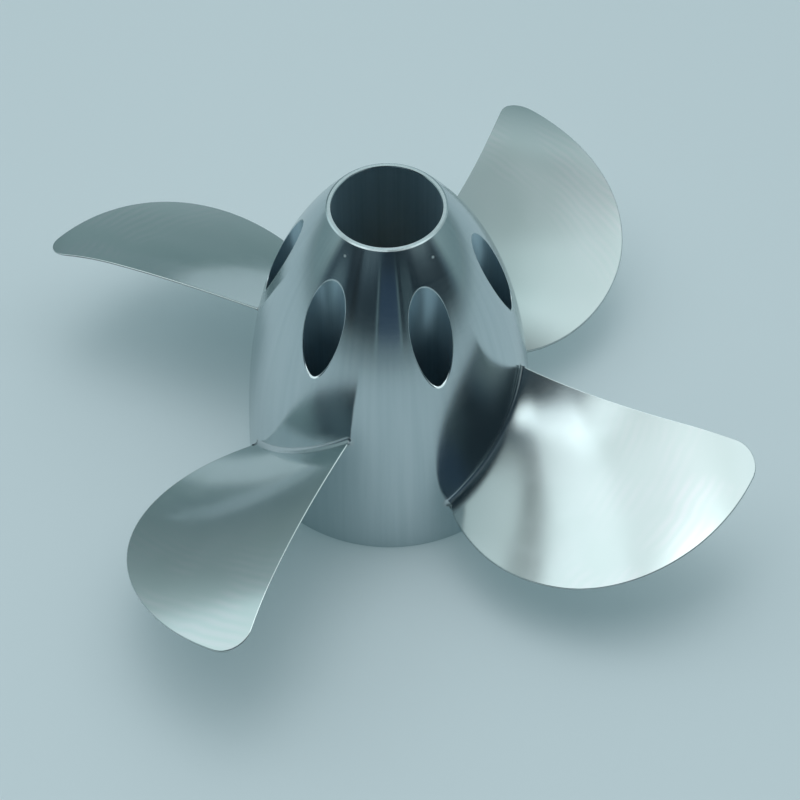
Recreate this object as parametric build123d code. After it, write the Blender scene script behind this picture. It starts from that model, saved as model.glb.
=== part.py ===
from build123d import *

import os
from math import atan, atan2, cos, hypot, radians, sqrt

# Four-blade, right-handed boat propeller with a rubber-cushioned splined drive.
# Millimetres and degrees. The origin is the centre of the hub's front face, and +Z runs aft along
# the shaft axis, from the wide front face to the narrow open tail. Seen from aft, angles run
# counter-clockwise from +X. Each blade's own x axis points outwards along its trailing edge.

# Hub: a long ogive that stands on its wide front face.
HUB_LENGTH = 125.0
BASE_RADIUS = 54.0
TAIL_RADIUS = 20.6
TAIL_BORE_RADIUS = 19.0
PROFILE_STEPS = 10

# Six round exhaust ports, bored parallel to the shaft from the front face out through the ogive.
PORT_COUNT = 6
PORT_RADIUS = 7.5
PORT_CIRCLE_RADIUS = 36.6
PORT_START_ANGLE = -7.0
PORT_EDGE_BREAK = 0.25
SEAM_ANGLE = PORT_START_ANGLE + 180 / PORT_COUNT

# Blades: outline in plan, seen along the shaft, in the blade's own frame.
BLADE_COUNT = 4
BLADE_ANGLE = -20.6
WIDEST_X = 85.5
OUTER_HALF_LENGTH = 55.3
INNER_HALF_LENGTH = 61.1
BLADE_WIDTH = 64.1
TRAILING_ROOT = (30.0, 6.8)
TRAILING_MIDDLE = (85.5, -0.5)
TIP_CORNER_RADIUS = 9.0

# Blade face: a screw surface whose pitch eases off towards the root and the tip.
GENERATOR_ANGLE = -40.0
GENERATOR_HEIGHT = 39.9
GENERATOR_SLOPE = -0.014
GENERATOR_DROP = 0.0011
BEST_RADIUS = 111.0
BEST_RISE_PER_RADIAN = 45.5
ROOT_PITCH_EASE = 0.0015
TIP_PITCH_EASE = 0.0113

# Blade thickness, measured square to the face.
EDGE_THICKNESS = 0.7
ROOT_CROWN = 5.0
TIP_CROWN = 0.6
SECTION_STATIONS = 10
SECTION_POINTS = 9
SLAB_START = 30.0
SLAB_MARGIN = 6.0
ROOT_FILLET_LEG = 1.5
SURFACE_TOLERANCE = 0.05

# Drive cartridge: a rubber cushion in a steel shell, held against a shoulder by a snap ring.
SHELL_RADIUS = 22.0
SHELL_WALL = 1.5
SHELL_START = 6.0
SHELL_END = 62.0
CUSHION_RECESS = 2.0
SLEEVE_RADIUS = 12.95
SLEEVE_START = 2.0
SLEEVE_END = 61.0
SLEEVE_CHAMFER = 0.8
RUNNING_CLEARANCE = 0.05
SPLINE_TEETH = 13
SPLINE_ROOT_RADIUS = 10.0
SPLINE_TIP_RADIUS = 8.6
SPLINE_GROOVE_WIDTH = 2.4
RING_THICKNESS = 1.5
RING_GROOVE_DEPTH = 1.2
RING_GROOVE_CLEARANCE = 0.1
RING_WIDTH = 3.4
RING_GAP = 12.0
RING_LUG_RADIUS = 3.0
RING_EYE_RADIUS = 1.2


def hub_radius(height):
    """Outside radius of the hub: nearly parallel at the front, closing faster towards the tail."""
    part_way = height / HUB_LENGTH
    closing = 0.38 * part_way**1.5 + 0.62 * part_way**4
    return BASE_RADIUS - (BASE_RADIUS - TAIL_RADIUS) * closing


def tube(outer_radius, inner_radius, start, end):
    """Plain ring along the shaft axis."""
    ring = Circle(outer_radius) - Circle(inner_radius)
    return extrude(Pos(0, 0, start) * ring, amount=end - start)


def hub_envelope():
    """The ogive as one solid body, before it is bored, with its seam between two ports."""
    heights = [HUB_LENGTH * step / PROFILE_STEPS for step in range(PROFILE_STEPS + 1)]
    outside = Spline([(hub_radius(height), 0, height) for height in heights])
    rest = Polyline((TAIL_RADIUS, 0, HUB_LENGTH), (0, 0, HUB_LENGTH), (0, 0, 0), (BASE_RADIUS, 0, 0))
    return Rot(0, 0, SEAM_ANGLE) * revolve(make_face(outside + rest), Axis.Z)


def port_places():
    """Centres of the ports round the shaft axis."""
    return PolarLocations(PORT_CIRCLE_RADIUS, PORT_COUNT, start_angle=PORT_START_ANGLE)


def make_hub(envelope):
    """Ogive with the tail bore, the cartridge seat with its ring groove, and the ports."""
    tail_bore = extrude(Pos(0, 0, SHELL_END) * Circle(TAIL_BORE_RADIUS), amount=HUB_LENGTH)
    seat = extrude(Circle(SHELL_RADIUS), amount=SHELL_END)
    groove_start = SHELL_START - RING_THICKNESS - RING_GROOVE_CLEARANCE
    groove = tube(SHELL_RADIUS + RING_GROOVE_DEPTH, SHELL_RADIUS - 1, groove_start, SHELL_START)
    ports = extrude(Sketch() + port_places() * Circle(PORT_RADIUS), amount=HUB_LENGTH)
    bored = envelope - tail_bore - seat - groove - ports
    port_mouths = [edge for edge in bored.edges().filter_by(GeomType.BSPLINE) if edge.is_closed]
    return chamfer(port_mouths, PORT_EDGE_BREAK)


def face_height(x, y):
    """Height of the blade's aft face over a point of the blade's own plan."""
    radius = hypot(x, y)
    turn = radians(BLADE_ANGLE - GENERATOR_ANGLE) + atan2(y, x)
    outboard = max(0.0, radius - BEST_RADIUS)
    inboard = min(0.0, radius - BEST_RADIUS)
    rise = BEST_RISE_PER_RADIAN - ROOT_PITCH_EASE * inboard**2 - TIP_PITCH_EASE * outboard**2
    generator = GENERATOR_HEIGHT + GENERATOR_SLOPE * (radius - 100) - GENERATOR_DROP * outboard**2
    return generator + rise * turn


def chord(x):
    """Width of the blade's plan at a distance along its own axis."""
    half_length = OUTER_HALF_LENGTH if x > WIDEST_X else INNER_HALF_LENGTH
    return BLADE_WIDTH * sqrt(max(0.01, 1 - ((x - WIDEST_X) / half_length) ** 2))


def back_height(x, y):
    """Height of the blade's front face: the aft face less the thickness, which swells mid-chord."""
    radius = hypot(x, y)
    tip_x = WIDEST_X + OUTER_HALF_LENGTH
    outward = (x - SLAB_START) / (tip_x - SLAB_START)
    crown = max(0.0, ROOT_CROWN + (TIP_CROWN - ROOT_CROWN) * outward)
    across = (y + chord(x) / 2) / (chord(x) / 2)
    thickness = EDGE_THICKNESS + crown * max(0.0, 1 - across**2)
    pitch_angle = atan(BEST_RISE_PER_RADIAN / radius)
    return face_height(x, y) - thickness / cos(pitch_angle)


def blade_section(x):
    """Section of the blade slab square to the blade's own axis, a little wider than the blade."""
    low_y = -BLADE_WIDTH - SLAB_MARGIN
    high_y = TRAILING_ROOT[1] + SLAB_MARGIN
    widths = [low_y + (high_y - low_y) * step / (SECTION_POINTS - 1) for step in range(SECTION_POINTS)]
    face = Spline([(x, y, face_height(x, y)) for y in widths])
    back = Spline([(x, y, back_height(x, y)) for y in widths])
    leading_side = Line(face @ 0, back @ 0)
    trailing_side = Line(face @ 1, back @ 1)
    return make_face(face + trailing_side + back + leading_side)


def blade_plan():
    """Outline of the blade in plan: a shallow arc, a rounded tip corner and two quarter ellipses."""
    tip = (WIDEST_X + OUTER_HALF_LENGTH, 0)
    inner_end = (WIDEST_X - INNER_HALF_LENGTH, 0)
    trailing_edge = ThreePointArc(TRAILING_ROOT, TRAILING_MIDDLE, tip)
    widest = (WIDEST_X, 0)
    outer = EllipticalCenterArc(widest, OUTER_HALF_LENGTH, BLADE_WIDTH, start_angle=270)
    inner = EllipticalCenterArc(widest, INNER_HALF_LENGTH, BLADE_WIDTH, start_angle=180)
    inner_side = Line(inner_end, TRAILING_ROOT)
    plan = make_face(trailing_edge + outer + inner + inner_side)
    tip_corner = plan.vertices().sort_by(Axis.X)[-1]
    return fillet(tip_corner, TIP_CORNER_RADIUS)


def make_blade(envelope):
    """First blade: the twisted slab trimmed to its outline and to the outside of the hub."""
    slab_end = WIDEST_X + OUTER_HALF_LENGTH + SLAB_MARGIN
    stations = [
        SLAB_START + (slab_end - SLAB_START) * step / (SECTION_STATIONS - 1)
        for step in range(SECTION_STATIONS)
    ]
    slab = loft([blade_section(x) for x in stations])
    trimmed = slab & extrude(blade_plan(), amount=HUB_LENGTH)
    return Rot(0, 0, BLADE_ANGLE) * trimmed - envelope


def lies_on_hub(edge):
    """True for a short edge that runs over the outside of the hub."""
    middle = edge @ 0.5
    gap = hypot(middle.X, middle.Y) - hub_radius(middle.Z)
    return abs(gap) < SURFACE_TOLERANCE and edge.length < HUB_LENGTH


def make_root_fillet(envelope, blade):
    """Dressed weld all round the blade's root: a three-sided bead between blade and hub."""
    joined = envelope + blade
    root_edges = [edge for edge in joined.edges() if lies_on_hub(edge)]
    return chamfer(root_edges, ROOT_FILLET_LEG) - envelope - blade


def make_sleeve():
    """Bronze sleeve with internal splines for the propeller shaft."""
    body = tube(SLEEVE_RADIUS, SPLINE_TIP_RADIUS, SLEEVE_START, SLEEVE_END)
    ends = body.edges().filter_by(GeomType.CIRCLE)
    body = chamfer(ends.group_by(SortBy.RADIUS)[-1], SLEEVE_CHAMFER)
    groove = Rectangle(SPLINE_ROOT_RADIUS, SPLINE_GROOVE_WIDTH, align=(Align.MIN, Align.CENTER))
    grooves = extrude(Sketch() + PolarLocations(0, SPLINE_TEETH) * groove, amount=HUB_LENGTH)
    return body - grooves


def make_retaining_ring():
    """Snap ring with two lugs, sprung into the groove in front of the cartridge."""
    outer_radius = SHELL_RADIUS + RING_GROOVE_DEPTH
    inner_radius = outer_radius - RING_WIDTH
    lug_y = RING_GAP / 2 + RING_LUG_RADIUS
    lug_x = sqrt((inner_radius - RING_LUG_RADIUS / 2) ** 2 - lug_y**2)
    lug_places = Locations((lug_x, lug_y), (lug_x, -lug_y))
    lugs = Sketch() + lug_places * Circle(RING_LUG_RADIUS)
    eyes = Sketch() + lug_places * Circle(RING_EYE_RADIUS)
    band = Circle(outer_radius) - Circle(inner_radius)
    band -= Rectangle(2 * outer_radius, RING_GAP, align=(Align.MIN, Align.CENTER))
    outline = band + lugs - eyes
    start = SHELL_START - RING_THICKNESS
    return extrude(Pos(0, 0, start) * outline, amount=RING_THICKNESS)


envelope = hub_envelope()
blade = make_blade(envelope)
root_fillet = make_root_fillet(envelope, blade)
shell_inner_radius = SHELL_RADIUS - SHELL_WALL
cushion_bore_radius = SLEEVE_RADIUS + RUNNING_CLEARANCE

nodes = {
    "hub_body": make_hub(envelope),
    "cushion_shell": tube(SHELL_RADIUS, shell_inner_radius, SHELL_START, SHELL_END),
    "rubber_cushion": tube(
        shell_inner_radius, cushion_bore_radius, SHELL_START + CUSHION_RECESS, SHELL_END - CUSHION_RECESS
    ),
    "drive_sleeve": make_sleeve(),
    "retaining_ring": make_retaining_ring(),
}
for number in range(BLADE_COUNT):
    turned = Rot(0, 0, number * 360 / BLADE_COUNT)
    nodes[f"blade_{number + 1}"] = turned * blade
    nodes[f"root_fillet_{number + 1}"] = turned * root_fillet

os.makedirs("parts", exist_ok=True)
for name, solid in nodes.items():
    solid.label = name
    export_step(solid, f"parts/{name}.step")
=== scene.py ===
from math import cos, hypot, pi, radians, sin, tan

import bpy
import numpy as np
from mathutils import Matrix, Quaternion, Vector


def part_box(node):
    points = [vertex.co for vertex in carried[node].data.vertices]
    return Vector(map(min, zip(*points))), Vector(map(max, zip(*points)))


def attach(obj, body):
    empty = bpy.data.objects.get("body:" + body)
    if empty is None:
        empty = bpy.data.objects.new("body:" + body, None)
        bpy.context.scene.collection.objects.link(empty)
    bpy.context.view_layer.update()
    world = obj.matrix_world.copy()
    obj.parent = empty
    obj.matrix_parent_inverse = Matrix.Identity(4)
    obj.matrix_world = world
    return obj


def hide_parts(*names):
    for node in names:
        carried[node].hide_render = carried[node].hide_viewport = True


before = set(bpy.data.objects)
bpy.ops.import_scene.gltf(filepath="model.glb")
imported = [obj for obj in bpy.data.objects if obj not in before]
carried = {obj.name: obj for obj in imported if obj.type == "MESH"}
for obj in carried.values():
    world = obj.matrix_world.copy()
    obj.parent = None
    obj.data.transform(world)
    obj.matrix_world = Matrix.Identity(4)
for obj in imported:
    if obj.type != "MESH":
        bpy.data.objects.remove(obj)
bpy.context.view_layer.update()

MM = 0.001
UP = np.array([0.0, 0.0, 1.0])

# ------------------------------------------------------------------ driving sizes, in millimetres
# The hub and blades have the sizes and formulas of the CAD part, whose nodes they stand for. The
# edge breaks and the radius of the root beads are this script's own.

# Hub: a long ogive with a stepped bore, which stands on its wide front face.
HUB_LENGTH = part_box("hub_body")[1].z / MM
BASE_RADIUS = 54.0
TAIL_RADIUS = 20.6
TAIL_BORE_RADIUS = 19.0
SEAT_RADIUS = 22.0
SEAT_END = 62.0
GROOVE_RADIUS = 23.2
GROOVE_START = 4.4
GROOVE_END = 6.0

# How the hub closes towards the tail: two powers of the way along it, each with its share.
EARLY_SHARE = 0.38
EARLY_POWER = 1.5
LATE_SHARE = 0.62
LATE_POWER = 4

# Exhaust ports, bored parallel to the shaft axis.
PORT_COUNT = 6
PORT_RADIUS = 7.5
PORT_CIRCLE_RADIUS = 36.6
PORT_START = radians(-7.0)

# Broken edges. A port mouth's is wider at its low end, where it is more of a facet.
EDGE_BREAK = 0.25
TAIL_EDGE_BREAK = 0.3
PORT_EDGE_BREAK = 0.35
LOW_END_BREAK = 0.35
LOW_END_SHARPNESS = 6
FACET_SLOPE = 0.4

# Blades: outline in plan, in the blade's own frame, whose x axis points out from the shaft.
BLADE_COUNT = 4
BLADE_ANGLE = radians(-20.6)
WIDEST_X = 85.5
OUTER_HALF_LENGTH = 55.3
INNER_HALF_LENGTH = 61.1
BLADE_WIDTH = 64.1
# The square of the least share of the width that the plan narrows to at its ends.
LEAST_WIDTH_SQUARED = 0.01
TRAILING_POINTS = ((30.0, 6.8), (85.5, -0.5), (140.8, 0.0))
TIP_CORNER_RADIUS = 9.0
TIP_CORNER_CENTRE = (131.08, -9.658)
# Where the leading edge passes into the tip corner.
LEADING_END = 139.98

# Blade face: a screw surface whose pitch eases off towards the root and the tip.
GENERATOR_ANGLE = radians(-40.0)
GENERATOR_RADIUS = 100.0
GENERATOR_HEIGHT = 39.9
GENERATOR_SLOPE = -0.014
GENERATOR_DROP = 0.0011
BEST_RADIUS = 111.0
BEST_RISE_PER_RADIAN = 45.5
ROOT_PITCH_EASE = 0.0015
TIP_PITCH_EASE = 0.0113

# Blade thickness, square to the face, and the bead round each root.
EDGE_THICKNESS = 0.7
ROOT_CROWN = 5.0
TIP_CROWN = 0.6
SLAB_START = 30.0
ROOT_FILLET_RADIUS = 2.0


# ------------------------------------------------------------------ hub and blade formulas
HALVINGS = 40


def first_beyond(low, high, is_beyond):
    """Closes in, from both sides, on the values at which a test starts to hold."""
    for _ in range(HALVINGS):
        middle = (low + high) / 2
        beyond = is_beyond(middle)
        high = np.where(beyond, middle, high)
        low = np.where(beyond, low, middle)
    return (low + high) / 2


def hub_radius(height):
    """Outside radius of the hub, which closes faster towards the tail."""
    part_way = np.clip(height / HUB_LENGTH, 0, 1)
    closing = EARLY_SHARE * part_way**EARLY_POWER + LATE_SHARE * part_way**LATE_POWER
    return BASE_RADIUS - (BASE_RADIUS - TAIL_RADIUS) * closing


def hub_slope(height):
    """How fast the hub's radius changes with height."""
    part_way = np.clip(height / HUB_LENGTH, 0, 1)
    early_rate = EARLY_SHARE * EARLY_POWER * part_way ** (EARLY_POWER - 1)
    late_rate = LATE_SHARE * LATE_POWER * part_way ** (LATE_POWER - 1)
    return -(BASE_RADIUS - TAIL_RADIUS) * (early_rate + late_rate) / HUB_LENGTH


def hub_height(radius):
    """Height at which the hub has a given outside radius."""
    foot = np.zeros_like(radius)
    tail = np.full_like(radius, HUB_LENGTH)
    return first_beyond(foot, tail, lambda height: hub_radius(height) <= radius)


def face_height(x, y):
    """Height of a blade's aft face over its own plan."""
    radius = np.hypot(x, y)
    turn = BLADE_ANGLE - GENERATOR_ANGLE + np.arctan2(y, x)
    outboard = np.maximum(0, radius - BEST_RADIUS)
    inboard = np.minimum(0, radius - BEST_RADIUS)
    rise = BEST_RISE_PER_RADIAN - ROOT_PITCH_EASE * inboard**2 - TIP_PITCH_EASE * outboard**2
    slant = GENERATOR_SLOPE * (radius - GENERATOR_RADIUS)
    return GENERATOR_HEIGHT + slant - GENERATOR_DROP * outboard**2 + rise * turn


def chord(x):
    """Width of the blade's plan: two half ellipses that meet where it is widest."""
    half_length = np.where(x > WIDEST_X, OUTER_HALF_LENGTH, INNER_HALF_LENGTH)
    width_squared = 1 - ((x - WIDEST_X) / half_length) ** 2
    return BLADE_WIDTH * np.sqrt(np.maximum(LEAST_WIDTH_SQUARED, width_squared))


def tip_corner_half(x):
    """Half the width, at x, of the circle that rounds the tip."""
    beyond = np.clip(x - TIP_CORNER_CENTRE[0], 0, TIP_CORNER_RADIUS)
    return np.sqrt(TIP_CORNER_RADIUS**2 - beyond**2)


def trailing_edge(x):
    """Plan y of the trailing edge: a shallow curve through three points, then the tip corner."""
    curve = 0.0
    for place, (x0, y0) in enumerate(TRAILING_POINTS):
        (x1, _), (x2, _) = TRAILING_POINTS[:place] + TRAILING_POINTS[place + 1 :]
        curve = curve + y0 * (x - x1) * (x - x2) / ((x0 - x1) * (x0 - x2))
    centre_x, centre_y = TIP_CORNER_CENTRE
    return np.where(x > centre_x, np.minimum(curve, centre_y + tip_corner_half(x)), curve)


def leading_edge(x):
    """Plan y of the leading edge: the blade's width, then the tip corner."""
    return np.where(x > LEADING_END, TIP_CORNER_CENTRE[1] - tip_corner_half(x), -chord(x))


def crown(x, y):
    """Extra thickness over the edge thickness, greatest at mid-chord."""
    outward = (x - SLAB_START) / (WIDEST_X + OUTER_HALF_LENGTH - SLAB_START)
    most = np.maximum(0, ROOT_CROWN + (TIP_CROWN - ROOT_CROWN) * outward)
    across = (y + chord(x) / 2) / (chord(x) / 2)
    return most * np.maximum(0, 1 - across**2)


def steepness(x, y):
    """One over the cosine of the pitch angle: turns thickness into height."""
    return np.sqrt(1 + (BEST_RISE_PER_RADIAN / np.hypot(x, y)) ** 2)


def back_height(x, y):
    """Height of a blade's back, the side towards the front of the hub."""
    return face_height(x, y) - (EDGE_THICKNESS + crown(x, y)) * steepness(x, y)


# ------------------------------------------------------------------ vectors
def unit(vectors):
    """Vectors scaled to a length of one."""
    return vectors / np.linalg.norm(vectors, axis=-1, keepdims=True)


def polar(radius, angle, height):
    """Points, or directions, from a radius and an angle round the shaft axis and a height."""
    return np.stack([radius * np.cos(angle), radius * np.sin(angle), height], -1)


def turned(vectors, angle):
    """Points or normals turned about the shaft axis."""
    c, s = cos(angle), sin(angle)
    return vectors @ np.array([[c, s, 0], [-s, c, 0], [0, 0, 1]])


def surface_normal(height, x, y):
    """Upward unit normal of a height field over plan points."""
    step = 0.05
    slope_x = (height(x + step, y) - height(x - step, y)) / (2 * step)
    slope_y = (height(x, y + step) - height(x, y - step)) / (2 * step)
    return unit(np.stack([-slope_x, -slope_y, np.ones_like(slope_x)], -1))


# ------------------------------------------------------------------ mesh building
# Points are welded when they fall on the same step of a fine grid.
WELD_STEPS_PER_MM = 2000
# Millimetres of surface for one unit of the grain coordinates.
GRAIN_SIZE = 100.0


class Shell:
    """Collects patches of quads with their own normals and grain coordinates, and welds them."""

    def __init__(self):
        self.points = []
        self.index = {}
        self.faces = []
        self.zones = []
        self.normals = []
        self.grain = []

    def vertex(self, point):
        """Number of the vertex at a point, which is shared by all patches that meet there."""
        key = tuple(int(round(c * WELD_STEPS_PER_MM)) for c in point)
        if key not in self.index:
            self.index[key] = len(self.points)
            self.points.append(tuple(c * MM for c in point))
        return self.index[key]

    def patch(self, points, normals, grain, closed=False, zone=0):
        """Adds a grid of quads in one material zone, all facing the way that its normals point.
        Closed joins the last column to the first. Quads narrowed to a line are left out."""
        rows, columns = points.shape[:2]
        ids = [[self.vertex(points[i, j]) for j in range(columns)] for i in range(rows)]
        made = []
        facing = 0.0
        for i in range(rows - 1):
            for j in range(columns if closed else columns - 1):
                k = (j + 1) % columns
                corners = {}
                for place in ((i, j), (i, k), (i + 1, k), (i + 1, j)):
                    corners.setdefault(ids[place[0]][place[1]], place)
                if len(corners) < 3:
                    continue
                first, second, *_, last = corners.values()
                across = np.cross(points[second] - points[first], points[last] - points[first])
                facing += np.dot(across, normals[first] + normals[second] + normals[last])
                made.append(list(corners.items()))
        for corners in made:
            if facing < 0:
                corners.reverse()
            self.faces.append([name for name, _ in corners])
            self.zones.append(zone)
            self.normals.extend(normals[place] for _, place in corners)
            self.grain.extend(grain[place] for _, place in corners)

    def cap(self, ring, facing, grain):
        """Closes a ring of points with a fan of faces from its middle."""
        rows = np.stack([ring, np.broadcast_to(ring.mean(0), ring.shape)])
        self.patch(rows, np.broadcast_to(facing, rows.shape), np.stack([grain, grain]), closed=True)

    def piece(self, name):
        """The collected patches as one mesh object."""
        mesh = bpy.data.meshes.new(name)
        mesh.from_pydata(self.points, [], self.faces)
        uv = mesh.uv_layers.new(name="grain")
        uv.data.foreach_set("uv", np.array(self.grain, np.float32).ravel())
        mesh.polygons.foreach_set("material_index", self.zones)
        mesh.shade_smooth()
        mesh.normals_split_custom_set([tuple(n) for n in self.normals])
        made = bpy.data.objects.new(name, mesh)
        bpy.context.scene.collection.objects.link(made)
        return made


def row_fractions(steps):
    """Fractions from 0 to 1 for the rows of a patch, shaped to multiply a loop of points."""
    return np.linspace(0, 1, steps + 1)[:, None, None]


# ------------------------------------------------------------------ hub
# The ports open between two heights. That band is laid in sectors, one round each port.
BAND_LOW = 72.0
BAND_HIGH = 119.0
BAND_STEPS = 24
SECTOR_STEPS = 40
STEPS_BELOW_BAND = 40
STEPS_ABOVE_BAND = 8
MOUTH_STEPS = 14
# A power above 1 crowds the rows towards the mouth.
MOUTH_CROWDING = 1.5
LIP_STEPS = 4
WALL_STEPS = 8
FRONT_STEPS = 8
# Zones of the hub's mesh, in the order of its materials.
OUTSIDE, BORED = range(2)


def ogive(angle, height):
    """Points, normals and grain of the hub's outside, from angles and heights."""
    slope = hub_slope(height)
    lean = np.sqrt(1 + slope**2)
    points = polar(hub_radius(height), angle, height)
    normals = polar(1 / lean, angle, -slope / lean)
    grain = np.stack([angle / (2 * pi), height / GRAIN_SIZE], -1)
    return points, normals, grain


def lathe_patch(shell, outline, angles, zone):
    """Straight stretches of the turned profile: each pair of outline points is its own flat or cone."""
    for (r0, z0), (r1, z1) in zip(outline, outline[1:]):
        angle, part_way = np.meshgrid(angles, [0.0, 1.0])
        radius = r0 + (r1 - r0) * part_way
        height = z0 + (z1 - z0) * part_way
        length = hypot(r1 - r0, z1 - z0)
        normals = polar((z1 - z0) / length, angle, np.full_like(angle, (r0 - r1) / length))
        grain = np.stack([angle / (2 * pi), (radius + height) / GRAIN_SIZE], -1)
        shell.patch(polar(radius, angle, height), normals, grain, zone=zone)


def rectangle_loop(low_u, high_u, low_v, high_v, steps_u, steps_v):
    """Points round a rectangle, counter-clockwise from its low corner."""
    u = np.linspace(low_u, high_u, steps_u + 1)
    v = np.linspace(low_v, high_v, steps_v + 1)
    bottom = [(a, low_v) for a in u[:-1]]
    right = [(high_u, b) for b in v[:-1]]
    top = [(a, high_v) for a in u[:0:-1]]
    left = [(low_u, b) for b in v[:0:-1]]
    return np.array(bottom + right + top + left)


def port_angle(port):
    """Direction of a port's centre from the shaft axis."""
    return PORT_START + port * 2 * pi / PORT_COUNT


def port_loop(port, radius, directions):
    """Radius and angle round the shaft of points round a port, at directions from its centre."""
    centre = port_angle(port)
    x = PORT_CIRCLE_RADIUS * cos(centre) + radius * np.cos(directions)
    y = PORT_CIRCLE_RADIUS * sin(centre) + radius * np.sin(directions)
    angle = centre + (np.arctan2(y, x) - centre + pi) % (2 * pi) - pi
    return np.hypot(x, y), angle


def port_mouth(shell, port, outer, directions):
    """Ogive round a port's mouth, finer towards it, and the mouth's edge. Returns the wall's top."""
    low_end = np.maximum(0, np.cos(directions - port_angle(port))) ** LOW_END_SHARPNESS
    width = PORT_EDGE_BREAK + LOW_END_BREAK * low_end
    rim_radius, rim_angle = port_loop(port, PORT_RADIUS + width, directions)
    rim = np.stack([rim_angle, hub_height(rim_radius)], -1)
    plan = rim + (outer - rim) * row_fractions(MOUTH_STEPS) ** MOUTH_CROWDING
    points, normals, grain = ogive(plan[..., 0], plan[..., 1])
    shell.patch(points, normals, grain, closed=True)

    # The edge is rounded at the mouth's sides and top, and blends into a facet at its low end.
    low_end = low_end[:, None]
    wall_radius, wall_angle = port_loop(port, PORT_RADIUS, directions)
    lip = polar(wall_radius, wall_angle, hub_height(wall_radius))
    wall_top = lip - width[:, None] * UP
    facet_top = polar(wall_radius, wall_angle, points[0][:, 2] + FACET_SLOPE * width)
    wall_top = wall_top + (facet_top - wall_top) * low_end
    lip = lip + ((points[0] + wall_top) / 2 - lip) * low_end
    bend = row_fractions(LIP_STEPS)
    edge = points[0] * (1 - bend) ** 2 + 2 * lip * bend * (1 - bend) + wall_top * bend**2
    outward = polar(1, directions, 0 * directions)
    rounded = unit(normals[0] * (1 - bend) - outward * bend)
    facet = unit(FACET_SLOPE * outward + UP)
    edge_normals = unit(rounded * (1 - low_end) + facet * low_end)
    edge_grain = np.broadcast_to(grain[0], (len(edge), *grain[0].shape))
    shell.patch(edge, edge_normals, edge_grain, closed=True)
    return wall_top


def port_wall(shell, port, directions, top):
    """Wall of a port and the broken edge at its front end."""
    inward = -polar(1, directions, 0 * directions)
    radius, angle = port_loop(port, PORT_RADIUS, directions)
    foot = polar(radius, angle, np.full_like(angle, EDGE_BREAK))
    wall = top + (foot - top) * row_fractions(WALL_STEPS)
    round_port = np.broadcast_to(directions / (2 * pi), wall.shape[:2])
    grain = np.stack([round_port, wall[..., 2] / GRAIN_SIZE], -1)
    shell.patch(wall, np.broadcast_to(inward, wall.shape), grain, closed=True, zone=BORED)

    radius, angle = port_loop(port, PORT_RADIUS + EDGE_BREAK, directions)
    edge = np.stack([foot, polar(radius, angle, 0 * angle)])
    tilt = unit(inward - UP)
    shell.patch(edge, np.stack([tilt, tilt]), grain[:2], closed=True)


def port_front(shell, port, outer, directions):
    """Flat front face from a port's edge out to the seat bore and to the hub's base edge."""
    reach = (BAND_HIGH - outer[:, 1]) / (BAND_HIGH - BAND_LOW)
    seat_edge = SEAT_RADIUS + EDGE_BREAK
    base_edge = BASE_RADIUS - EDGE_BREAK
    face_loop = np.stack([seat_edge + (base_edge - seat_edge) * reach, outer[:, 0]], -1)
    rim = np.stack(port_loop(port, PORT_RADIUS + EDGE_BREAK, directions), -1)
    plan = rim + (face_loop - rim) * row_fractions(FRONT_STEPS)
    radius = plan[..., 0]
    angle = plan[..., 1]
    face = polar(radius, angle, 0 * angle)
    grain = np.stack([angle / (2 * pi), radius / GRAIN_SIZE], -1)
    shell.patch(face, np.broadcast_to(-UP, face.shape), grain, closed=True)


def port_sector(shell, port):
    """The sixth of the hub round one port: ogive above, wall through, flat front face below."""
    half = pi / PORT_COUNT
    start = port_angle(port) - half
    end = port_angle(port) + half
    outer = rectangle_loop(start, end, BAND_LOW, BAND_HIGH, SECTOR_STEPS, BAND_STEPS)
    across = (outer[:, 0] - port_angle(port)) / half
    along = (outer[:, 1] - (BAND_LOW + BAND_HIGH) / 2) / ((BAND_HIGH - BAND_LOW) / 2)
    # Towards the tail is towards the axis in plan.
    directions = port_angle(port) + np.arctan2(across, -along)
    wall_top = port_mouth(shell, port, outer, directions)
    port_wall(shell, port, directions, wall_top)
    port_front(shell, port, outer, directions)


def make_hub():
    """Ogive, ports and turned profile in one closed mesh with two zones."""
    shell = Shell()
    half = pi / PORT_COUNT
    angles = PORT_START + np.linspace(-half, 2 * pi - half, PORT_COUNT * SECTOR_STEPS + 1)
    top = HUB_LENGTH - TAIL_EDGE_BREAK
    bands = ((EDGE_BREAK, BAND_LOW, STEPS_BELOW_BAND), (BAND_HIGH, top, STEPS_ABOVE_BAND))
    for low, high, steps in bands:
        angle, height = np.meshgrid(angles, np.linspace(low, high, steps + 1))
        shell.patch(*ogive(angle, height))
    for port in range(PORT_COUNT):
        port_sector(shell, port)
    # Turned profile: the base edge, the tail land, then the bores down to the front face.
    base_edge = [(BASE_RADIUS - EDGE_BREAK, 0), (float(hub_radius(EDGE_BREAK)), EDGE_BREAK)]
    land = [
        (float(hub_radius(top)), top),
        (TAIL_RADIUS - TAIL_EDGE_BREAK, HUB_LENGTH),
        (TAIL_BORE_RADIUS + EDGE_BREAK, HUB_LENGTH),
        (TAIL_BORE_RADIUS, top),
    ]
    bores = [
        (TAIL_BORE_RADIUS, top),
        (TAIL_BORE_RADIUS, SEAT_END + EDGE_BREAK),
        (TAIL_BORE_RADIUS + EDGE_BREAK, SEAT_END),
        (SEAT_RADIUS, SEAT_END),
        (SEAT_RADIUS, GROOVE_END),
        (GROOVE_RADIUS, GROOVE_END),
        (GROOVE_RADIUS, GROOVE_START),
        (SEAT_RADIUS, GROOVE_START),
        (SEAT_RADIUS, EDGE_BREAK),
        (SEAT_RADIUS + EDGE_BREAK, 0),
    ]
    lathe_patch(shell, base_edge, angles, OUTSIDE)
    lathe_patch(shell, land, angles, OUTSIDE)
    lathe_patch(shell, bores, angles, BORED)
    return shell.piece("hub")


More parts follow.
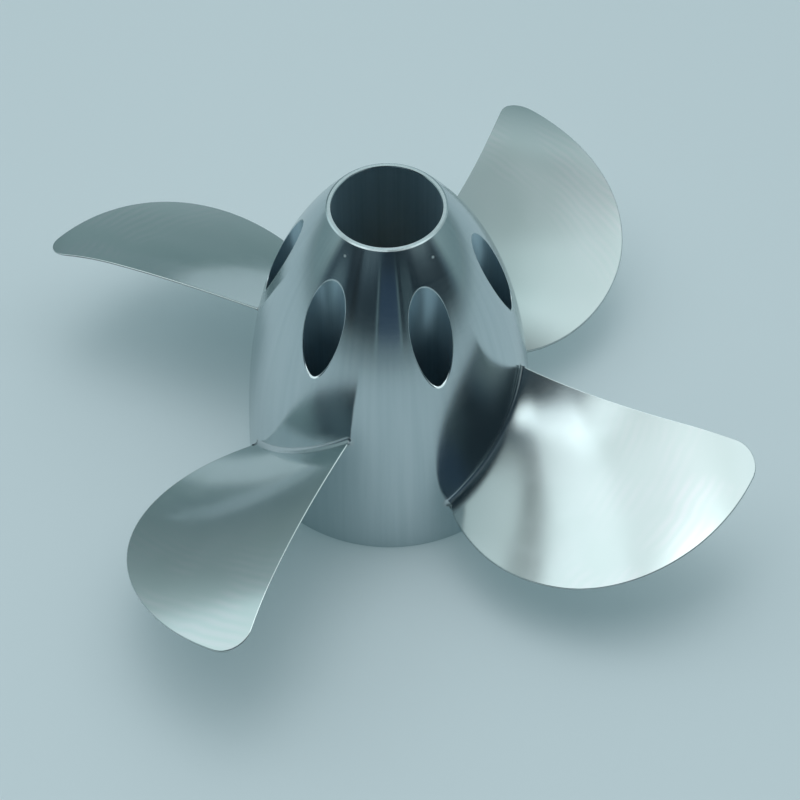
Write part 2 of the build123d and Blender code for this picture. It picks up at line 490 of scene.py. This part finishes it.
# ------------------------------------------------------------------ blades
# The tip corner's circle narrows to nothing at its end, so a blade stops just short of it.
TIP_GAP = 0.005
BLADE_END = TIP_CORNER_CENTRE[0] + TIP_CORNER_RADIUS - TIP_GAP
# A blade's root lies this deep in the hub, and is looked for between two places along the blade.
ROOT_SINK = 0.6
ROOT_SEARCH_START = 26.0
ROOT_SEARCH_END = 72.0
EDGE_INSET = EDGE_THICKNESS / 2
EDGE_STEPS = 7
FACE_STEPS = 48
LENGTH_STEPS = 90
# Parts of a blade's section, in the order in which its points go round it.
AFT_FACE, LEADING_SIDE, BACK, TRAILING_SIDE = range(4)


def inset(edge, x, side):
    """Plan points moved inwards from an edge, and the outward directions there."""
    step = 0.002
    rate = (edge(x + step) - edge(x - step)) / (2 * step)
    outward = unit(np.stack([-side * rate, np.full_like(rate, side)], -1))
    return np.stack([x, edge(x)], -1) - EDGE_INSET * outward, outward


def skin(x, part, along):
    """Points and outward normals on blade sections at x. Along runs from 0 to 1 over each part."""
    trailing, from_trailing = inset(trailing_edge, x, 1)
    leading, from_leading = inset(leading_edge, x, -1)
    across = np.choose(part, [along, 1 + 0 * along, 1 - along, 0 * along])
    plan = trailing + (leading - trailing) * across[..., None]
    plan_x = plan[..., 0]
    plan_y = plan[..., 1]
    top = face_height(plan_x, plan_y)
    bottom = back_height(plan_x, plan_y)

    # The two edges are rounded: they turn from straight up to straight down, or back again.
    turn = np.choose(part, [0 * along, pi * along, pi + 0 * along, pi - pi * along])[..., None]
    part = part[..., None]
    outward = np.where(part == LEADING_SIDE, from_leading, from_trailing)
    on_side = (part == LEADING_SIDE) | (part == TRAILING_SIDE)
    plan = plan + EDGE_INSET * np.sin(turn) * on_side * outward
    height = ((top + bottom) / 2)[..., None] + ((top - bottom) / 2)[..., None] * np.cos(turn)
    points = np.concatenate([plan, height], -1)

    up = surface_normal(face_height, plan_x, plan_y)
    down = -surface_normal(back_height, plan_x, plan_y)
    sideways = np.concatenate([outward, 0 * height], -1)
    sideways = unit(sideways - up * np.sum(sideways * up, -1, keepdims=True))
    rounded = up * np.cos(turn) + sideways * np.sin(turn)
    normals = np.where(part == AFT_FACE, up, np.where(part == BACK, down, rounded))
    return points, normals


def section_parameters():
    """Part and place along it for every point round a blade section."""
    parts = []
    places = []
    section = (
        (AFT_FACE, FACE_STEPS),
        (LEADING_SIDE, EDGE_STEPS),
        (BACK, FACE_STEPS),
        (TRAILING_SIDE, EDGE_STEPS),
    )
    for part, steps in section:
        parts.extend([part] * (steps + 1))
        places.extend(np.linspace(0, 1, steps + 1))
    return np.array(parts), np.array(places)


def root_position(part, along, sink):
    """x at which each line along the blade meets the hub's outside, sunk by a little."""

    def is_outside(x):
        points, _ = skin(x, part, along)
        return np.hypot(points[:, 0], points[:, 1]) > hub_radius(points[:, 2]) - sink

    start = np.full(part.shape, ROOT_SEARCH_START)
    end = np.full(part.shape, ROOT_SEARCH_END)
    return first_beyond(start, end, is_outside)


def make_blade(name, turn):
    """A closed blade skin from just inside the hub to the tip, with rows closer towards the tip."""
    shell = Shell()
    part, along = section_parameters()
    start = root_position(part, along, ROOT_SINK)
    outward = 1 - (1 - np.linspace(0, 1, LENGTH_STEPS + 1)) ** 2
    x = start + (BLADE_END - start) * outward[:, None]
    points, normals = skin(x, np.broadcast_to(part, x.shape), np.broadcast_to(along, x.shape))
    grain = points[..., :2] / GRAIN_SIZE
    points = turned(points, turn)
    shell.patch(points, turned(normals, turn), grain, closed=True)
    outboard = unit(points[0].mean(0) * np.array([1, 1, 0]))
    shell.cap(points[0], -outboard, grain[0])
    shell.cap(points[-1], outboard, grain[-1])
    return shell.piece(name)


# ------------------------------------------------------------------ root fillets
FILLET_STEPS = 8
# The bead's arc is let into both surfaces a little, and its hidden sides meet deeper inside them.
FILLET_SINK = 0.03
DEPTH_IN_HUB = 0.3
DEPTH_IN_BLADE = 0.2


def make_root_fillet(name, turn):
    """A concave bead of constant radius in the corner between a blade and the hub, all round its root."""
    shell = Shell()
    part, along = section_parameters()
    corner, blade_normal = skin(root_position(part, along, sink=0.0), part, along)
    slope = hub_slope(corner[:, 2])[:, None]
    hub_normal = unit(unit(corner * np.array([1, 1, 0])) - slope * UP)
    opening = 1 + np.sum(hub_normal * blade_normal, -1, keepdims=True)
    centre = corner + ROOT_FILLET_RADIUS * (hub_normal + blade_normal) / opening
    rows = []
    row_normals = []
    for step in range(FILLET_STEPS + 1):
        towards = unit(-hub_normal * (FILLET_STEPS - step) - blade_normal * step)
        rows.append(centre + (ROOT_FILLET_RADIUS + FILLET_SINK) * towards)
        row_normals.append(-towards)
    inside = corner - DEPTH_IN_HUB * hub_normal - DEPTH_IN_BLADE * blade_normal
    sides = (
        (rows, row_normals),
        ([rows[0], inside], [-hub_normal, -hub_normal]),
        ([rows[-1], inside], [-blade_normal, -blade_normal]),
    )
    for side_rows, side_normals in sides:
        points = turned(np.stack(side_rows), turn)
        normals = turned(np.stack(side_normals), turn)
        shell.patch(points, normals, points[..., :2] / GRAIN_SIZE, closed=True)
    return shell.piece(name)


# ------------------------------------------------------------------ materials
class Nodes:
    """A node tree, built up from procedural nodes. Inputs are values or other nodes' outputs."""

    def __init__(self, tree):
        self.tree = tree

    def feed(self, socket, value):
        """Gives a socket a value or a colour, or links another node's output to it."""
        if isinstance(value, bpy.types.NodeSocket):
            self.tree.links.new(value, socket)
        elif isinstance(value, tuple):
            socket.default_value = (*value, 1)
        else:
            socket.default_value = value

    def math(self, operation, first, second):
        node = self.tree.nodes.new("ShaderNodeMath")
        node.operation = operation
        self.feed(node.inputs[0], first)
        self.feed(node.inputs[1], second)
        return node.outputs["Value"]

    def mix(self, factor, first, second):
        """A colour from the first, at factor 0, to the second, at 1."""
        node = self.tree.nodes.new("ShaderNodeMix")
        node.data_type = "RGBA"
        self.feed(node.inputs["Factor"], factor)
        self.feed(node.inputs["A"], first)
        self.feed(node.inputs["B"], second)
        return node.outputs["Result"]

    def span(self, value, low, high, start=0.0, end=1.0, smooth=False):
        """Maps a value from start..end to low..high."""
        node = self.tree.nodes.new("ShaderNodeMapRange")
        if smooth:
            node.interpolation_type = "SMOOTHSTEP"
        self.feed(node.inputs["From Min"], start)
        self.feed(node.inputs["From Max"], end)
        self.feed(node.inputs["To Min"], low)
        self.feed(node.inputs["To Max"], high)
        self.feed(node.inputs["Value"], value)
        return node.outputs["Result"]


class Finish(Nodes):
    """A material with a Principled shader."""

    def __init__(self, name, colour, metallic, roughness):
        self.material = bpy.data.materials.new(name)
        self.material.use_nodes = True
        super().__init__(self.material.node_tree)
        self.shader = self.tree.nodes["Principled BSDF"]
        self.place = self.tree.nodes.new("ShaderNodeTexCoord").outputs["Object"]
        self.set("Base Color", colour)
        self.set("Metallic", metallic)
        self.set("Roughness", roughness)

    def set(self, name, value):
        """Feeds one of the shader's own sockets."""
        self.feed(self.shader.inputs[name], value)

    def stretched(self, scale, source=None):
        """Object coordinates, or others, scaled by different amounts on each axis."""
        mapping = self.tree.nodes.new("ShaderNodeMapping")
        mapping.inputs["Scale"].default_value = scale
        self.feed(mapping.inputs["Vector"], source or self.place)
        return mapping.outputs["Vector"]

    def grain_map(self):
        """The mesh's own grain coordinates: the turn round a turned surface and the place along it."""
        uv = self.tree.nodes.new("ShaderNodeUVMap")
        uv.uv_map = "grain"
        return uv.outputs["UV"]

    def noise(self, where, scale, detail=3.0):
        noise = self.tree.nodes.new("ShaderNodeTexNoise")
        self.feed(noise.inputs["Scale"], scale)
        self.feed(noise.inputs["Detail"], detail)
        self.feed(noise.inputs["Roughness"], 0.55)
        self.feed(noise.inputs["Vector"], where)
        return noise.outputs["Fac"]

    def patchy(self, noise, low, high):
        """A value that wanders between low and high with noise, which mostly stays in 0.3 to 0.7."""
        return self.span(noise, low, high, start=0.3, end=0.7)

    def beyond_radius(self, radius, softness, centre):
        """1 further from a centre than a radius in millimetres, 0 inside it, with a soft edge."""
        distance = self.tree.nodes.new("ShaderNodeVectorMath")
        distance.operation = "DISTANCE"
        distance.inputs[1].default_value = centre
        self.feed(distance.inputs[0], self.place)
        start = (radius - softness) * MM
        end = (radius + softness) * MM
        return self.span(distance.outputs["Value"], 0.0, 1.0, start, end)

    def bump(self, height, strength, depth):
        """Relief from a height. Depth is in millimetres."""
        node = self.tree.nodes.new("ShaderNodeBump")
        self.feed(node.inputs["Strength"], strength)
        self.feed(node.inputs["Distance"], depth * MM)
        self.feed(node.inputs["Height"], height)
        self.set("Normal", node.outputs["Normal"])

    def brushed(self, amount):
        """Grain round the shaft axis: reflections stretch along the hub's length."""
        tangent = self.tree.nodes.new("ShaderNodeTangent")
        tangent.direction_type = "RADIAL"
        tangent.axis = "Z"
        self.set("Anisotropic", amount)
        self.set("Anisotropic Rotation", 0.25)
        self.set("Tangent", tangent.outputs["Tangent"])


STEEL = (0.57, 0.63, 0.65)
# Scales of the noise round a turned surface and along it: rings run round it, streaks along it.
RING_STRETCH = (0.5, 160.0, 1.0)
STREAK_STRETCH = (60.0, 0.5, 1.0)
BORE_STREAK_STRETCH = (50.0, 0.5, 1.0)

# Two small dings under the tail edge: turn about the shaft and height in millimetres.
NICKS = ((radians(-127.0), 121.0), (radians(-51.5), 120.0))
NICK_RADIUS = 0.45
NICK_SOFTNESS = 0.2
NICK_ROUGHNESS = 0.65


def turned_steel():
    """Bright steel, brushed round the shaft axis, with faint streaks along it."""
    finish = Finish("turned_steel", STEEL, metallic=1.0, roughness=0.15)
    grain = finish.grain_map()
    rings = finish.noise(finish.stretched(RING_STRETCH, grain), scale=6.0)
    streaks = finish.noise(finish.stretched(STREAK_STRETCH, grain), scale=2.0, detail=4.0)
    polish = finish.patchy(rings, 0.12, 0.18)
    for turn, height in NICKS:
        place = Vector(polar(hub_radius(height), turn, height)) * MM
        dull = finish.span(finish.beyond_radius(NICK_RADIUS, NICK_SOFTNESS, place), NICK_ROUGHNESS, 0.0)
        polish = finish.math("MAXIMUM", polish, dull)
    finish.set("Roughness", polish)
    finish.set("Base Color", finish.mix(streaks, (0.48, 0.56, 0.59), (0.64, 0.70, 0.72)))
    finish.bump(rings, strength=0.05, depth=0.02)
    finish.brushed(0.92)
    return finish.material


def bored_steel():
    """The duller finish inside the bores and ports."""
    finish = Finish("bored_steel", (0.45, 0.53, 0.57), metallic=0.65, roughness=0.36)
    grain = finish.grain_map()
    streaks = finish.noise(finish.stretched(BORE_STREAK_STRETCH, grain), scale=2.0, detail=4.0)
    finish.set("Base Color", finish.mix(streaks, (0.32, 0.45, 0.52), (0.52, 0.66, 0.73)))
    finish.set("Roughness", finish.patchy(streaks, 0.32, 0.42))
    finish.bump(streaks, strength=0.1, depth=0.03)
    return finish.material


# The milling arcs show only beyond this radius, fading in over the softness either way.
ARC_RADIUS = 112.0
ARC_SOFTNESS = 18.0


def milling_arcs(finish):
    """Faint uneven arcs round the shaft, shown in patches of the blades' outer parts."""
    arcs = finish.tree.nodes.new("ShaderNodeTexWave")
    arcs.wave_type = "RINGS"
    arcs.rings_direction = "Z"
    finish.feed(arcs.inputs["Scale"], 90.0)
    finish.feed(arcs.inputs["Distortion"], 5.0)
    finish.feed(arcs.inputs["Detail"], 2.0)
    finish.feed(arcs.inputs["Detail Scale"], 0.6)
    finish.feed(arcs.inputs["Vector"], finish.place)
    cloud = finish.noise(finish.place, scale=45.0, detail=1.0)
    patches = finish.span(cloud, low=0.0, high=0.5, start=0.4, end=0.6)
    outer = finish.beyond_radius(ARC_RADIUS, ARC_SOFTNESS, (0, 0, 0))
    return finish.math("MULTIPLY", finish.math("MULTIPLY", patches, outer), arcs.outputs["Fac"])


def milled_steel():
    """Polished over faint arcs from milling, with a slow waviness left by the polishing."""
    finish = Finish("milled_steel", STEEL, metallic=1.0, roughness=0.13)
    cloud = finish.noise(finish.place, scale=60.0)
    finish.set("Roughness", finish.patchy(cloud, 0.11, 0.16))
    tint = finish.noise(finish.place, scale=28.0)
    sheen = finish.mix(tint, (0.54, 0.62, 0.61), (0.63, 0.67, 0.69))
    finish.set("Base Color", finish.mix(milling_arcs(finish), sheen, (0.68, 0.67, 0.70)))
    finish.bump(finish.noise(finish.place, scale=26.0, detail=1.0), strength=0.32, depth=0.9)
    return finish.material


def weld_steel():
    """The dressed beads, a little rougher and finely uneven."""
    finish = Finish("blended_weld", (0.58, 0.62, 0.64), metallic=1.0, roughness=0.2)
    finish.set("Roughness", finish.patchy(finish.noise(finish.place, scale=500.0), 0.16, 0.26))
    finish.bump(finish.noise(finish.place, scale=260.0, detail=1.0), strength=0.12, depth=0.08)
    return finish.material


def rubber():
    """Black cushion rubber with a fine grit."""
    finish = Finish("cushion_rubber", (0.022, 0.022, 0.024), metallic=0.0, roughness=0.62)
    grit = finish.noise(finish.place, scale=1500.0)
    finish.set("Base Color", finish.mix(grit, (0.016, 0.016, 0.018), (0.036, 0.035, 0.036)))
    finish.set("Roughness", finish.patchy(grit, 0.52, 0.74))
    finish.bump(grit, strength=0.35, depth=0.12)
    return finish.material


def bronze():
    """Bronze turned round the shaft axis, in two close tints."""
    finish = Finish("sleeve_bronze", (0.62, 0.41, 0.20), metallic=1.0, roughness=0.3)
    lines = finish.noise(finish.stretched((1.0, 1.0, 60.0)), scale=45.0)
    tint = finish.noise(finish.place, scale=90.0)
    finish.set("Base Color", finish.mix(tint, (0.52, 0.33, 0.15), (0.70, 0.48, 0.25)))
    finish.set("Roughness", finish.patchy(lines, 0.22, 0.40))
    finish.bump(lines, strength=0.2, depth=0.05)
    finish.brushed(0.4)
    return finish.material


def plain_steel(name, colour, low, high):
    """Steel with lines from turning, whose roughness wanders between low and high."""
    finish = Finish(name, colour, metallic=1.0, roughness=(low + high) / 2)
    lines = finish.noise(finish.stretched((1.0, 1.0, 40.0)), scale=60.0)
    patches = finish.noise(finish.place, scale=140.0)
    darker = tuple(0.8 * c for c in colour)
    finish.set("Base Color", finish.mix(patches, darker, colour))
    finish.set("Roughness", finish.patchy(lines, low, high))
    finish.bump(lines, strength=0.15, depth=0.04)
    return finish.material


FLOOR_PAINT = (0.66, 0.68, 0.72)
# Tint of the floor's own faint glow, a painted fill light that lightens the shadows under the blades.
FLOOR_PAINTED_FILL_LIGHT = (0.58, 0.96, 1.0)
# Centre, radius and soft edge of the painted pool of light: beyond it the floor colour is painted darker,
# a painted shade.
PAINTED_LIGHT_POOL_CENTRE = (0.0, 0.35, 0.0)
PAINTED_LIGHT_POOL_RADIUS = 850.0
PAINTED_LIGHT_POOL_SOFTNESS = 150.0


def floor_with_painted_light():
    """Pale tabletop under the propeller. Well away from it the colour is darkened, a painted shade that
    makes a painted pool of light round the propeller; the floor also glows faintly, a painted fill light.
    """
    finish = Finish("floor", FLOOR_PAINT, metallic=0.0, roughness=0.55)
    cloud = finish.noise(finish.place, scale=3.0)
    # Painted shade: the floor colour darkened well away from the propeller, where the light falls off.
    painted_falloff_shade = tuple(0.35 * c for c in FLOOR_PAINT)
    clouded = tuple(0.985 * c for c in FLOOR_PAINT)
    beyond_painted_light_pool = finish.beyond_radius(PAINTED_LIGHT_POOL_RADIUS, PAINTED_LIGHT_POOL_SOFTNESS, PAINTED_LIGHT_POOL_CENTRE)
    finish.set("Base Color", finish.mix(beyond_painted_light_pool, finish.mix(cloud, clouded, FLOOR_PAINT), painted_falloff_shade))
    finish.set("Specular IOR Level", 0.2)
    # Painted light: the floor glows faintly though it is no lamp, a painted fill light for the shadows.
    finish.set("Emission Color", FLOOR_PAINTED_FILL_LIGHT)
    finish.set("Emission Strength", 0.12)
    return finish.material


def dress(piece, slot, *materials):
    """Gives a piece one material, or one for each zone of its mesh."""
    zones = [face.material_index for face in piece.data.polygons]
    piece.data.materials.clear()
    for material in materials:
        piece.data.materials.append(material)
    if len(materials) > 1:
        piece.data.polygons.foreach_set("material_index", zones)


# ------------------------------------------------------------------ the propeller
blade_finish = milled_steel()
weld_finish = weld_steel()

hub = make_hub()
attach(hub, "propeller")
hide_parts("hub_body")
dress(hub, "hub_metal", turned_steel(), bored_steel())

for number in range(1, BLADE_COUNT + 1):
    turn = BLADE_ANGLE + (number - 1) * 2 * pi / BLADE_COUNT
    blade = make_blade(f"blade_skin_{number}", turn)
    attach(blade, "propeller")
    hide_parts(f"blade_{number}")
    dress(blade, "blade_metal", blade_finish)
    fillet = make_root_fillet(f"root_bead_{number}", turn)
    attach(fillet, "propeller")
    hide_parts(f"root_fillet_{number}")
    dress(fillet, "weld_metal", weld_finish)

dress(carried["cushion_shell"], "shell_steel", plain_steel("shell_steel", (0.55, 0.56, 0.57), 0.28, 0.42))
dress(carried["rubber_cushion"], "cushion_rubber", rubber())
dress(carried["drive_sleeve"], "sleeve_bronze", bronze())
dress(carried["retaining_ring"], "ring_steel", plain_steel("ring_steel", (0.30, 0.31, 0.33), 0.3, 0.45))

# ------------------------------------------------------------------ floor and camera, in metres
FLOOR_REACH = 3.0
floor_mesh = bpy.data.meshes.new("floor")
floor_signs = ((-1, -1), (1, -1), (1, 1), (-1, 1))
floor_corners = [(FLOOR_REACH * x, FLOOR_REACH * y, 0) for x, y in floor_signs]
floor_mesh.from_pydata(floor_corners, [], [(0, 1, 2, 3)])
floor_mesh.materials.append(floor_with_painted_light())
floor = bpy.data.objects.new("floor", floor_mesh)
bpy.context.scene.collection.objects.link(floor)

CAMERA_DISTANCE = 0.81697
CAMERA_ELEVATION = radians(52.152)
CAMERA_TARGET = Vector((0.0039, 0.0, 0.0197))
CAMERA_ROLL = radians(-0.506)
CAMERA_LENS = 95.40
CAMERA_SENSOR = 36.0

camera_data = bpy.data.cameras.new("camera")
camera_data.lens = CAMERA_LENS
camera_data.sensor_width = CAMERA_SENSOR
camera = bpy.data.objects.new("camera", camera_data)
bpy.context.scene.collection.objects.link(camera)
bpy.context.scene.camera = camera
eye = Vector((0.0, -CAMERA_DISTANCE * cos(CAMERA_ELEVATION), CAMERA_DISTANCE * sin(CAMERA_ELEVATION)))
forward = (CAMERA_TARGET - eye).normalized()
level = forward.cross(Vector((0, 0, 1))).normalized()
upright = level.cross(forward)
right = cos(CAMERA_ROLL) * level + sin(CAMERA_ROLL) * upright
up = -sin(CAMERA_ROLL) * level + cos(CAMERA_ROLL) * upright
camera.matrix_world = Matrix.Translation(eye) @ Matrix((right, up, -forward)).transposed().to_4x4()

# ------------------------------------------------------------------ lights, in metres
SOFTBOX_TINT = (0.90, 1.0, 1.02)
STRIP_BLUE = (0.25, 0.5, 1.0)
STRIP_GREY = (0.66, 1.0, 1.05)
DOWN = Vector((0, 0, -1))
CEILING_HEIGHT = 1.04
# Panels at one height hide each other where they overlap, so these hang just under the others.
KEY_FRONT_HEIGHT = 1.03
SLANT_PLACE = Vector((-0.53, -0.375, 1.02))
SLANT_LENGTH = 0.42
SLANT_WIDTH = 0.12
SLANT_TURN = radians(29)
STRIP_DISTANCE = 1.5
STRIP_MIDDLE = 0.36
STRIP_LENGTH = 0.8


def light_panel(name, place, facing, width, height, glow, tint, turn=0.0):
    """A rectangle of even light. Glow is the brightness seen in a perfect mirror."""
    light = bpy.data.lights.new(name, "AREA")
    light.shape = "RECTANGLE"
    light.size = width
    light.size_y = height
    light.color = tint
    light.energy = glow * pi * width * height
    lamp = bpy.data.objects.new(name, light)
    lamp.location = place
    lamp.rotation_mode = "QUATERNION"
    lamp.rotation_quaternion = (-facing).to_track_quat("Z", "Y") @ Quaternion((0, 0, 1), turn)
    lamp.visible_camera = False
    bpy.context.scene.collection.objects.link(lamp)


def overhead_panel(name, left, right, front, back, glow, height=CEILING_HEIGHT):
    """A ceiling panel. Its sides are angles from straight up, in degrees, as if it hung at 1 m."""
    left, right, front, back = (tan(radians(angle)) for angle in (left, right, front, back))
    place = Vector(((left + right) / 2, (front + back) / 2, height))
    light_panel(name, place, DOWN, right - left, back - front, glow, SOFTBOX_TINT)


def front_strip(name, azimuth, width, glow, tint):
    """An upright strip in front of the propeller, whose reflection is a line down the hub."""
    a = radians(azimuth)
    place = Vector((STRIP_DISTANCE * sin(a), -STRIP_DISTANCE * cos(a), STRIP_MIDDLE))
    facing = Vector((-sin(a), cos(a), 0))
    across = 2 * STRIP_DISTANCE * tan(radians(width / 2))
    light_panel(name, place, facing, across, STRIP_LENGTH, glow, tint)


overhead_panel("key_edge", left=-32.5, right=-17, front=-22, back=14, glow=0.45)
overhead_panel("key_left", left=-17, right=-4, front=-22, back=12, glow=0.20)
overhead_panel("key_right", left=-4, right=32, front=-16, back=16, glow=0.24)
overhead_panel("key_front", left=-20, right=0, front=-17.5, back=-12.5, glow=0.76, height=KEY_FRONT_HEIGHT)
overhead_panel("key_corner", left=-36, right=-29, front=-26.6, back=-22, glow=1.0, height=KEY_FRONT_HEIGHT)
light_panel(
    "key_slant",
    SLANT_PLACE,
    DOWN,
    width=SLANT_LENGTH,
    height=SLANT_WIDTH,
    glow=0.9,
    tint=SOFTBOX_TINT,
    turn=SLANT_TURN,
)
front_strip("front_blue", azimuth=0.5, width=19, glow=0.06, tint=STRIP_BLUE)
front_strip("front_line_left", azimuth=-11, width=1.6, glow=0.18, tint=STRIP_GREY)
front_strip("front_line_right", azimuth=11, width=1.6, glow=0.18, tint=STRIP_GREY)
front_strip("front_grey_right", azimuth=22, width=12, glow=0.06, tint=STRIP_GREY)

# ------------------------------------------------------------------ the room
# A pale tent that brightens upwards, open and dark on the camera's side. Places where the
# brightness changes are given as cosines of the angle to a direction, start and end of the change.
ROOM_LEVEL = 0.04
TENT_LOW = 0.26
TENT_RISE = 0.76
TENT_POWER = 1.5
OPENING_EDGES = (-0.36, -0.06)
FRAME_SHADE = 0.55
FRAME_INNER_EDGE = (0.53, 0.56)
FRAME_OUTER_EDGE = (0.60, 0.65)
FRAME_BACK_END = (-0.30, -0.15)
DARK_TINT = (0.42, 0.78, 1.05)
LOW_TINT = (0.66, 1.0, 1.05)
HIGH_TINT = (0.90, 1.0, 1.0)
TINTED_BELOW = 0.30
# Brighter and darker places in the tent: azimuth, elevation, full and fading angle, level.
TENT_GLOWS = {
    "left_window": (-125, 42, 4, 20, 0.35),
    "back_ceiling": (180, 74, 4, 20, 1.30),
    "right_front": (58, 42, 4, 26, 0.30),
    "right_high": (93, 60, 4, 20, 0.12),
    "front_left_low": (-28, 36, 4, 22, 0.12),
    "left_low": (-60, 8, 3, 14, 0.14),
    "right_back_shade": (120, 44, 3, 15, -0.16),
    "left_back_shade": (-152, 14, 4, 18, -0.10),
}


class Room(Nodes):
    """The world shader, built up as one brightness that depends on direction."""

    def __init__(self):
        world = bpy.data.worlds.new("room")
        bpy.context.scene.world = world
        world.use_nodes = True
        super().__init__(world.node_tree)
        self.direction = self.tree.nodes.new("ShaderNodeTexCoord").outputs["Generated"]

    def ramp(self, value, start, end, level):
        """Rises smoothly from 0 to a level as a value goes from start to end."""
        return self.span(value, 0.0, level, start, end, smooth=True)

    def towards(self, azimuth, elevation):
        """Cosine of the angle to a direction. Azimuth 0 is the camera's side, 90 its right."""
        a = radians(azimuth)
        e = radians(elevation)
        dot = self.tree.nodes.new("ShaderNodeVectorMath")
        dot.operation = "DOT_PRODUCT"
        dot.inputs[1].default_value = (sin(a) * cos(e), -cos(a) * cos(e), sin(e))
        self.feed(dot.inputs[0], self.direction)
        return dot.outputs["Value"]

    def light(self, brightness, height):
        """Lights the room, bluer low down than high up and bluest where it is dark."""
        pale = self.mix(height, LOW_TINT, HIGH_TINT)
        tint = self.mix(self.ramp(brightness, 0.0, TINTED_BELOW, 1.0), DARK_TINT, pale)
        background = self.tree.nodes["Background"]
        self.feed(background.inputs["Color"], tint)
        self.feed(background.inputs["Strength"], brightness)


def tent_brightness(room, height):
    """The tent, its opening, and the brighter and darker places in it."""
    tent = room.math("MULTIPLY", room.math("POWER", height, TENT_POWER), TENT_RISE)
    tent = room.math("ADD", tent, TENT_LOW)
    tent = room.math("MULTIPLY", tent, room.ramp(room.towards(180, 0), *OPENING_EDGES, 1.0))
    total = room.math("ADD", tent, ROOM_LEVEL)
    for azimuth, elevation, full, fading, level in TENT_GLOWS.values():
        glow = room.ramp(room.towards(azimuth, elevation), cos(radians(fading)), cos(radians(full)), level)
        total = room.math("ADD", total, glow)
    return total


def dark_frame(room):
    """The share of light that a dark frame along the left side of the key light takes away."""
    left = room.towards(-90, 0)
    past_inner_edge = room.ramp(left, *FRAME_INNER_EDGE, 1.0)
    past_outer_edge = room.ramp(left, *FRAME_OUTER_EDGE, 1.0)
    between = room.math("SUBTRACT", past_inner_edge, past_outer_edge)
    shade = room.ramp(room.towards(0, 0), *FRAME_BACK_END, FRAME_SHADE)
    return room.math("MULTIPLY", between, shade)


def surroundings():
    """Puts the room's brightness together and lights it."""
    room = Room()
    height = room.math("MAXIMUM", room.towards(0, 90), 0.0)
    unshaded = room.math("SUBTRACT", 1.0, dark_frame(room))
    room.light(room.math("MULTIPLY", tent_brightness(room, height), unshaded), height)


surroundings()

bpy.context.scene.view_settings.view_transform = "Standard"
